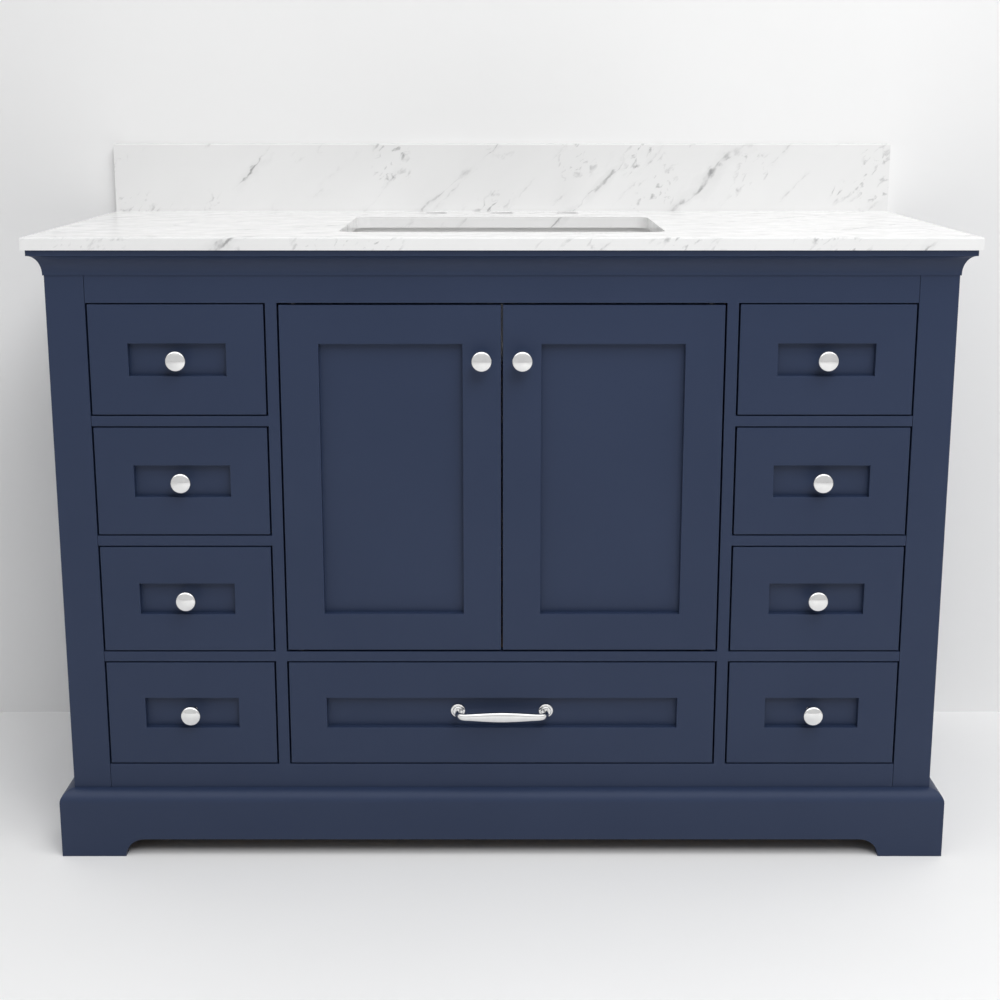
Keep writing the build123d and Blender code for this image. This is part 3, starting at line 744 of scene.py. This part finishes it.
def arc_points(start, middle, end, steps):
    """Points on the circle through three points, from the first up to the last."""
    (ax, ay), (bx, by), (cx, cy) = start, middle, end
    double = 2 * (ax * (by - cy) + bx * (cy - ay) + cx * (ay - by))
    squares = [x * x + y * y for x, y in (start, middle, end)]
    ux = (squares[0] * (by - cy) + squares[1] * (cy - ay) + squares[2] * (ay - by)) / double
    uy = (squares[0] * (cx - bx) + squares[1] * (ax - cx) + squares[2] * (bx - ax)) / double
    radius = math.hypot(ax - ux, ay - uy)
    first, passing, last = (math.atan2(y - uy, x - ux) for x, y in (start, middle, end))
    sweep = (last - first) % (2 * math.pi)
    if (passing - first) % (2 * math.pi) > sweep:
        sweep -= 2 * math.pi
    turns = [first + sweep * step / steps for step in range(1, steps + 1)]
    return [start] + [(ux + radius * math.cos(turn), uy + radius * math.sin(turn)) for turn in turns]


def add_screw_head(bm, seat):
    """A pan head with a cross recess, standing on a seat and facing the back."""
    before = set(bm.verts)
    verts = bmesh.ops.create_circle(
        bm, cap_ends=True, segments=screw_head_sides, radius=screw_head_radius,
    )["verts"]
    face = verts[0].link_faces[0]
    face = bmesh.ops.extrude_discrete_faces(bm, faces=[face])["faces"][0]
    bmesh.ops.translate(bm, vec=(0, 0, 0.5 * screw_head_height), verts=face.verts)
    for share, rise in screw_head_crown:
        bmesh.ops.inset_individual(
            bm, faces=[face], thickness=share * screw_head_radius, depth=rise * screw_head_height,
        )
    top = face.calc_center_median()
    bmesh.ops.inset_individual(bm, faces=[face], thickness=recess_border * screw_head_radius)
    for index, vert in enumerate(face.verts):
        if index % 4:
            vert.co = top + (vert.co - top) * recess_waist
    face = bmesh.ops.extrude_discrete_faces(bm, faces=[face])["faces"][0]
    bmesh.ops.translate(bm, vec=(0, 0, -0.5 * screw_head_height), verts=face.verts)
    made = [vert for vert in bm.verts if vert not in before]
    fill_holes(bm, links_of(made)[0])
    turn = Vector((0, 0, 1)).rotation_difference(Vector((0, 1, 0))).to_matrix().to_4x4()
    bmesh.ops.transform(bm, matrix=Matrix.Translation(seat) @ turn, verts=made)


def make_knob(owner):
    """A turned mushroom knob on a round base, with its screw head behind."""
    node = f"{owner}_knob"
    low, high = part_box(node)
    seat = Vector(((low.x + high.x) / 2, low.y + knob_projection, (low.z + high.z) / 2))
    profile = knob_base + arc_points(*knob_stem, 12)
    for arc, steps in ((knob_under, 6), (knob_rim, 8), (knob_cap, 10)):
        profile += arc_points(*arc, steps)[1:]
    bm = bmesh.new()
    turn_profile(bm, profile, seat)
    bmesh.ops.recalc_face_normals(bm, faces=bm.faces)
    add_screw_head(bm, Vector((seat.x, high.y - screw_head_height, seat.z)))
    make_piece(f"{owner}_turned_knob", bm, [nickel], body_of[node], [node])


def add_pull_section(bm, centre, across, depth, height, square):
    """One closed section of the pull, squarer than an ellipse by an exponent, as a loop of edges."""
    verts = bmesh.ops.create_circle(bm, cap_ends=False, segments=section_sides, radius=1.0)["verts"]
    for vert in verts:
        x, y = vert.co.x, vert.co.y
        bulge = (abs(x) ** square + abs(y) ** square) ** (-1 / square)
        vert.co = centre + across * (x * bulge * depth / 2) + Vector((0, 0, y * bulge * height / 2))
    return links_of(verts)[0]


def make_pull():
    """A swelling bar that turns back into two posts on stepped rosettes."""
    node = "centre_drawer_pull"
    low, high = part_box(node)
    seat_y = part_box("centre_drawer_front")[0].y + panel_recess
    middle_z = (low.z + high.z) / 2
    straight = pull_spacing / 2 - pull_bend
    elbow_y = seat_y - pull_reach + pull_bend
    bm = bmesh.new()

    def post_section(side):
        place = Vector((side * pull_spacing / 2, seat_y, middle_z))
        return add_pull_section(bm, place, Vector((-side, 0, 0)), *pull_end, post_square)

    def elbow_section(side, step):
        turn = math.radians(90 * step / elbow_steps)
        outward = Vector((side * math.cos(turn), -math.sin(turn), 0))
        centre = Vector((side * straight, elbow_y, middle_z)) + outward * pull_bend
        square = post_square + elbow_square * step / elbow_steps
        return add_pull_section(bm, centre, -outward, *pull_end, square)

    def bar_section(step):
        share = 2 * step / bar_steps - 1
        swell = math.cos(share * math.pi / 2) ** pull_swell
        size = [end + (middle - end) * swell for end, middle in zip(pull_end, pull_middle)]
        place = Vector((share * straight, seat_y - pull_reach, middle_z))
        square = post_square + elbow_square + bar_square * swell
        return add_pull_section(bm, place, Vector((0, 1, 0)), *size, square)

    loops = [post_section(-1)]
    loops += [elbow_section(-1, step) for step in range(elbow_steps)]
    loops += [bar_section(step) for step in range(bar_steps + 1)]
    loops += [elbow_section(1, step) for step in reversed(range(elbow_steps))]
    loops.append(post_section(1))
    for first, second in zip(loops, loops[1:]):
        bmesh.ops.bridge_loops(bm, edges=first + second)
    fill_holes(bm, bm.edges)
    bmesh.ops.recalc_face_normals(bm, faces=bm.faces)

    rosette = rosette_base + arc_points(*rosette_lower, 6)
    rosette += rosette_step + arc_points(*rosette_upper, 5) + rosette_top
    for side in sides.values():
        centre = Vector((side * pull_spacing / 2, seat_y, middle_z))
        turn_profile(bm, rosette, centre)
        add_screw_head(bm, Vector((centre.x, high.y - screw_head_height, middle_z)))
    bmesh.ops.recalc_face_normals(bm, faces=bm.faces)
    make_piece("centre_drawer_bar_pull", bm, [nickel], body_of[node], [node])


for owner in side_drawers + doors:
    make_knob(owner)
make_pull()


# Stone and basin
dress_copy("countertop", stone)
dress_copy("backsplash", stone)
dress_copy("sink_basin", ceramic)


# Wood inside the case and the drawers
def lay_grain(bm, faces, grain, thickness, shift, layered):
    """Give faces a grain map in metres, U along the grain and V across, and mark the cut edges."""
    layer = bm.loops.layers.uv.get("grain") or bm.loops.layers.uv.new("grain")
    width = along_x + along_y + along_z - grain - thickness
    for face in faces:
        normal = max(range(3), key=lambda axis: abs(face.normal[axis]))
        if normal == thickness:
            along, across = grain, width
        elif normal == grain:
            along, across = width, thickness
        else:
            along, across = grain, thickness
        cut = normal != thickness if layered else normal == grain
        face.material_index = 1 if cut else 0
        for loop in face.loops:
            loop[layer].uv = (loop.vert.co[along] + shift, loop.vert.co[across] + 2 * shift)


def make_ply_boards(node, grain, thickness):
    """Boards of the case in plywood, with soft edges that show the layers."""
    bm = merged_copy(node)
    soften(bm, bm.edges[:], wood_round)
    lay_grain(bm, bm.faces[:], grain, thickness, 0.1 * len(node), True)
    make_piece(f"{node}_boards", bm, [veneer, ply_edge], body_of[node], [node])


def make_side_panels():
    """Side panels, painted outside and on their edges and bare inside."""
    node = "side_panels"
    bm = merged_copy(node)
    soften(bm, bm.edges[:], wood_round)
    lay_grain(bm, bm.faces[:], along_z, along_x, 0.6, True)
    for face in bm.faces:
        centre_x = face.calc_center_median().x
        inside = face.normal.x * centre_x < -square_on * abs(centre_x)
        face.material_index = 0 if inside else 1
    make_piece("painted_side_panels", bm, [veneer, navy], body_of[node], [node])


def tail_limits(low_z, high_z):
    """Bottom and top of each dovetail where it leaves its board."""
    pitch = (high_z - low_z) / tail_count
    half = tail_share * pitch / 2
    middles = [low_z + pitch * (tail + 0.5) for tail in range(tail_count)]
    return [(middle - half, middle + half) for middle in middles]


def add_tail_board(bm, low, high):
    """A drawer side along Y with dovetails at both ends."""
    tails = tail_limits(low.z, high.z)

    def end_line(root, tip):
        line = [(root, low.z)]
        for bottom, top in tails:
            line += [(root, bottom), (tip, bottom - tail_flare), (tip, top + tail_flare), (root, top)]
        return line + [(root, high.z)]

    outline = end_line(low.y + box_board, low.y)
    outline += reversed(end_line(high.y - box_board, high.y))
    face = bm.faces.new([bm.verts.new((low.x, y, z)) for y, z in outline])
    extrude_faces(bm, [face], (high.x - low.x, 0, 0))


def add_pin_board(bm, low, high, root, tip):
    """A drawer front or back along X with pins between the dovetails of the sides."""
    tails = tail_limits(low.z, high.z)
    verts = add_box(bm, low, high)
    for side in sides.values():
        end_x = high.x if side > 0 else low.x
        ends = [face for face in links_of(verts)[1] if face.normal.x * side > square_on]
        for bottom, top in tails:
            for root_z, tip_z in ((bottom, bottom - tail_flare), (top, top + tail_flare)):
                normal = (0, root_z - tip_z, tip - root)
                found = {item for face in ends for item in (face, *face.edges, *face.verts)}
                cut = bmesh.ops.bisect_plane(
                    bm, geom=list(found), dist=weld, plane_co=(end_x, root, root_z), plane_no=normal,
                )["geom"]
                ends = [item for item in cut if isinstance(item, bmesh.types.BMFace)]
        pins = []
        for face in ends:
            middle = face.calc_center_median().z
            if not any(bottom < middle < top for bottom, top in tails):
                pins.append(face)
        tips = bmesh.ops.extrude_discrete_faces(bm, faces=pins)["faces"]
        tip_verts = list({vert for face in tips for vert in face.verts})
        bmesh.ops.translate(bm, vec=(side * box_board, 0, 0), verts=tip_verts)


def make_drawer_box(owner):
    """Dovetailed birch box with a thin bottom let in."""
    node = f"{owner}_box"
    low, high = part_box(node)
    inner_low = Vector((low.x + box_board, low.y + box_board, low.z))
    inner_high = Vector((high.x - box_board, high.y - box_board, high.z))
    left_high = Vector((inner_low.x, high.y, high.z))
    right_low = Vector((inner_high.x, low.y, low.z))
    front_low = Vector((inner_low.x, low.y, low.z))
    front_high = Vector((inner_high.x, inner_low.y, high.z))
    back_low = Vector((inner_low.x, inner_high.y, low.z))
    back_high = Vector((inner_high.x, high.y, high.z))
    bottom_low = Vector((inner_low.x, inner_low.y, low.z + box_bottom_lift))
    bottom_high = Vector((inner_high.x, inner_high.y, bottom_low.z + box_bottom))
    boards = (
        (add_tail_board, (low, left_high), along_y, along_x, 0.3),
        (add_tail_board, (right_low, high), along_y, along_x, 0.9),
        (add_pin_board, (front_low, front_high, inner_low.y, low.y), along_x, along_y, 1.7),
        (add_pin_board, (back_low, back_high, inner_high.y, high.y), along_x, along_y, 2.6),
        (add_box, (bottom_low, bottom_high, box_bottom_round), along_x, along_z, 3.1),
    )
    bm = bmesh.new()
    for add_board, sizes, grain, thickness, shift in boards:
        known = set(bm.faces)
        add_board(bm, *sizes)
        made = [face for face in bm.faces if face not in known]
        soften(bm, list({edge for face in made for edge in face.edges}), wood_round / 2)
        made = [face for face in bm.faces if face not in known]
        lay_grain(bm, made, grain, thickness, shift, False)
    make_piece(f"{owner}_dovetailed_box", bm, [birch, birch_end], body_of[node], [node])


make_side_panels()
for node, grain, thickness in (
    ("partitions", along_z, along_x),
    ("cabinet_floor", along_x, along_z),
    ("centre_shelf", along_x, along_z),
    ("cabinet_back", along_z, along_y),
    ("battens_and_blocks", along_z, along_x),
):
    make_ply_boards(node, grain, thickness)
for drawer in drawers:
    make_drawer_box(drawer)


# Runners, pivots, catches and clips
for drawer in drawers:
    dress_copy(f"{drawer}_runners", zinc, steel_round)
dress_copy("runner_rails", zinc, steel_round)
dress_copy("sink_clips", zinc)
dress_copy("door_pivots", dark_steel)
for door in doors:
    dress_copy(f"{door}_fittings", dark_steel)
dress_copy("door_catches", plastic, catch_round)


# Floor, backdrop, light and camera
focal_pixels = 1645.37
frame_pixels = 1000
optical_centre = (501.94, 475.33)
camera_back = 2091.7 * mm
camera_rise = 161.3 * mm
camera_pitch = 12.627
stage_reach = 5.0
backdrop_y = wall_y + mm
backdrop_height = 3.5
softbox_size = (1.8, 1.0)


def add_camera():
    """The photograph's viewpoint."""
    data = bpy.data.cameras.new("camera")
    data.sensor_width = 36.0
    data.lens = focal_pixels / frame_pixels * data.sensor_width
    data.shift_x = 0.5 - optical_centre[0] / frame_pixels
    data.shift_y = optical_centre[1] / frame_pixels - 0.5
    camera = bpy.data.objects.new("camera", data)
    camera.location = (0, slab_low.y - camera_back, slab_high.z + camera_rise)
    camera.rotation_euler = (math.radians(90 - camera_pitch), 0, 0)
    bpy.context.scene.collection.objects.link(camera)
    bpy.context.scene.camera = camera


def stage_plane(name, material, low, high):
    """A flat sheet of the stage between two corners."""
    bm = bmesh.new()
    add_sheet(bm, Vector(low), Vector(high))
    mesh = bpy.data.meshes.new(name)
    bm.to_mesh(mesh)
    bm.free()
    mesh.materials.append(material)
    plane = bpy.data.objects.new(name, mesh)
    bpy.context.scene.collection.objects.link(plane)


def stage_paint(name, grey, one_sided):
    """Pale matt paint; if one-sided, it lets sight and light through from behind."""
    material, tree, shader, coords = new_material(name)
    pale = 1.02 * grey
    tone = two_tone(tree, coords, 1.5, (grey, grey, grey, 1.0), (pale, pale, pale, 1.0))
    tree.links.new(tone, shader.inputs["Base Color"])
    shader.inputs["Roughness"].default_value = 0.85
    shader.inputs["Specular IOR Level"].default_value = 0.1
    if one_sided:
        behind = tree.nodes.new("ShaderNodeNewGeometry").outputs["Backfacing"]
        passed = tree.nodes.new("ShaderNodeLightPath").outputs["Transparent Depth"]
        clear = tree.nodes.new("ShaderNodeBsdfTransparent")
        shaders = {1: shader.outputs[0], 2: clear.outputs[0]}
        through = math_node(tree, "MAXIMUM", behind, passed)
        either = add_node(tree, "ShaderNodeMixShader", {0: through, **shaders})
        tree.links.new(either.outputs[0], tree.nodes["Material Output"].inputs["Surface"])
    return material


def add_world():
    """Studio light that falls from above, in a pale surround for sight and mirror images."""
    world = bpy.data.worlds.new("studio")
    bpy.context.scene.world = world
    world.use_nodes = True
    tree = world.node_tree
    coords = tree.nodes.new("ShaderNodeTexCoord").outputs["Generated"]
    height = add_node(tree, "ShaderNodeSeparateXYZ", {0: coords}).outputs["Z"]
    lit_share = remap(tree, height, 0.15, 0.85, 0.0, 1.0, smooth=True)
    lit = mix_colour(tree, lit_share, (0.10, 0.10, 0.101, 1.0), (0.88, 0.88, 0.88, 1.0))
    seen_share = remap(tree, height, 0.3, 0.85, 0.0, 1.0, smooth=True)
    seen = mix_colour(tree, seen_share, (0.72, 0.72, 0.725, 1.0), (2.2, 2.2, 2.2, 1.0))
    path = tree.nodes.new("ShaderNodeLightPath")
    in_sight = math_node(tree, "MAXIMUM", path.outputs["Is Camera Ray"], path.outputs["Is Glossy Ray"])
    background = tree.nodes["Background"]
    tree.links.new(mix_colour(tree, in_sight, lit, seen), background.inputs["Color"])


def add_softbox(name, place, target, power):
    """A large soft lamp aimed at a point."""
    data = bpy.data.lights.new(name, "AREA")
    data.shape = "RECTANGLE"
    data.size, data.size_y = softbox_size
    data.energy = power
    lamp = bpy.data.objects.new(name, data)
    lamp.location = place
    lamp.rotation_euler = (Vector(target) - Vector(place)).to_track_quat("-Z", "Y").to_euler()
    lamp.visible_glossy = False
    bpy.context.scene.collection.objects.link(lamp)


stage_plane(
    "floor", stage_paint("floor_paint", 0.91, False),
    (-stage_reach, -stage_reach, 0), (stage_reach, stage_reach, 0),
)
stage_plane(
    "backdrop", stage_paint("backdrop_paint", 0.92, True),
    (-stage_reach, backdrop_y, 0), (stage_reach, backdrop_y, backdrop_height),
)
add_world()
add_softbox("overhead", (0.9, -1.5, 3.0), (0, -0.3, 0.5), 26)
add_softbox("front", (0.7, -3.0, 2.9), (0, 0, 0.5), 38)
add_camera()
bpy.context.scene.view_settings.view_transform = "Standard"
